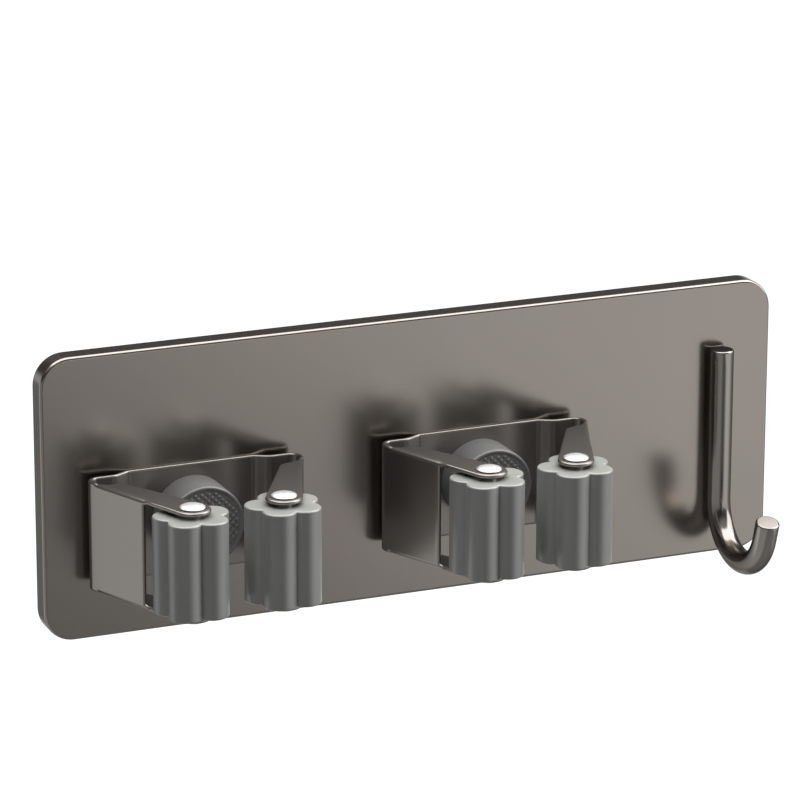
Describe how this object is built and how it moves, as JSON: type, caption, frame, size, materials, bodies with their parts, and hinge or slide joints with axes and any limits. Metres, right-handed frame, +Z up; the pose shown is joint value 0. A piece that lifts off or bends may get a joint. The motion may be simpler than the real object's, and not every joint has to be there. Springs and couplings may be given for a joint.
{
  "type": "wall mop holder rack",
  "caption": "Wall rack for mops and brooms: a shallow gun-metal plate carrying sprung clips with lobed rubber rollers, and a J-shaped rod hook.",
  "frame": {"origin": "centre of the adhesive face that meets the wall", "axes": "+X to the right seen from the room, +Z up, -Y out of the wall into the room, so +Y points into the wall"},
  "size_m": [0.218, 0.054, 0.0803],
  "materials": {
    "plate_steel": "satin",
    "spring_steel": "polished",
    "hook_steel": "polished",
    "polished_steel": "polished",
    "fixing_steel": "satin",
    "roller_rubber": "satin",
    "bumper_rubber": "matte",
    "foam_board": "matte",
    "adhesive": "matte"
  },
  "bodies": {
    "rack": {"wall_plate": "plate_steel", "backing_board": "foam_board", "adhesive_sheet": "adhesive", "j_hook": "hook_steel", "left_clip_base": "spring_steel", "left_clip_bumper": "bumper_rubber", "left_clip_fixing_rivet": "fixing_steel", "right_clip_base": "spring_steel", "right_clip_bumper": "bumper_rubber", "right_clip_fixing_rivet": "fixing_steel"},
    "left_clip_left_arm": {"left_clip_left_arm": "spring_steel", "left_clip_left_rivet": "polished_steel"},
    "left_clip_left_roller": {"left_clip_left_roller": "roller_rubber"},
    "left_clip_right_arm": {"left_clip_right_arm": "spring_steel", "left_clip_right_rivet": "polished_steel"},
    "left_clip_right_roller": {"left_clip_right_roller": "roller_rubber"},
    "right_clip_left_arm": {"right_clip_left_arm": "spring_steel", "right_clip_left_rivet": "polished_steel"},
    "right_clip_left_roller": {"right_clip_left_roller": "roller_rubber"},
    "right_clip_right_arm": {"right_clip_right_arm": "spring_steel", "right_clip_right_rivet": "polished_steel"},
    "right_clip_right_roller": {"right_clip_right_roller": "roller_rubber"}
  },
  "joints": [
    {"name": "left_clip_left_arm_flex", "type": "hinge", "parent": "rack", "child": "left_clip_left_arm", "pos_m": [-0.09423, -0.01255, -0.0086], "axis": [0, 0, -1], "range_deg": [0, 20], "stiffness_Nm_per_rad": 1.2},
    {"name": "left_clip_left_roller_spin", "type": "hinge", "parent": "left_clip_left_arm", "child": "left_clip_left_roller", "pos_m": [-0.07982, -0.0442, -0.0086], "axis": [0, 0, 1], "continuous": true},
    {"name": "left_clip_right_arm_flex", "type": "hinge", "parent": "rack", "child": "left_clip_right_arm", "pos_m": [-0.03957, -0.01255, -0.0086], "axis": [0, 0, 1], "range_deg": [0, 20], "stiffness_Nm_per_rad": 1.2},
    {"name": "left_clip_right_roller_spin", "type": "hinge", "parent": "left_clip_right_arm", "child": "left_clip_right_roller", "pos_m": [-0.05398, -0.0442, -0.0086], "axis": [0, 0, 1], "continuous": true},
    {"name": "right_clip_left_arm_flex", "type": "hinge", "parent": "rack", "child": "right_clip_left_arm", "pos_m": [-0.00893, -0.01255, -0.0086], "axis": [0, 0, -1], "range_deg": [0, 20], "stiffness_Nm_per_rad": 1.2},
    {"name": "right_clip_left_roller_spin", "type": "hinge", "parent": "right_clip_left_arm", "child": "right_clip_left_roller", "pos_m": [0.00547, -0.0442, -0.0086], "axis": [0, 0, 1], "continuous": true},
    {"name": "right_clip_right_arm_flex", "type": "hinge", "parent": "rack", "child": "right_clip_right_arm", "pos_m": [0.04573, -0.01255, -0.0086], "axis": [0, 0, 1], "range_deg": [0, 20], "stiffness_Nm_per_rad": 1.2},
    {"name": "right_clip_right_roller_spin", "type": "hinge", "parent": "right_clip_right_arm", "child": "right_clip_right_roller", "pos_m": [0.03132, -0.0442, -0.0086], "axis": [0, 0, 1], "continuous": true}
  ]
}
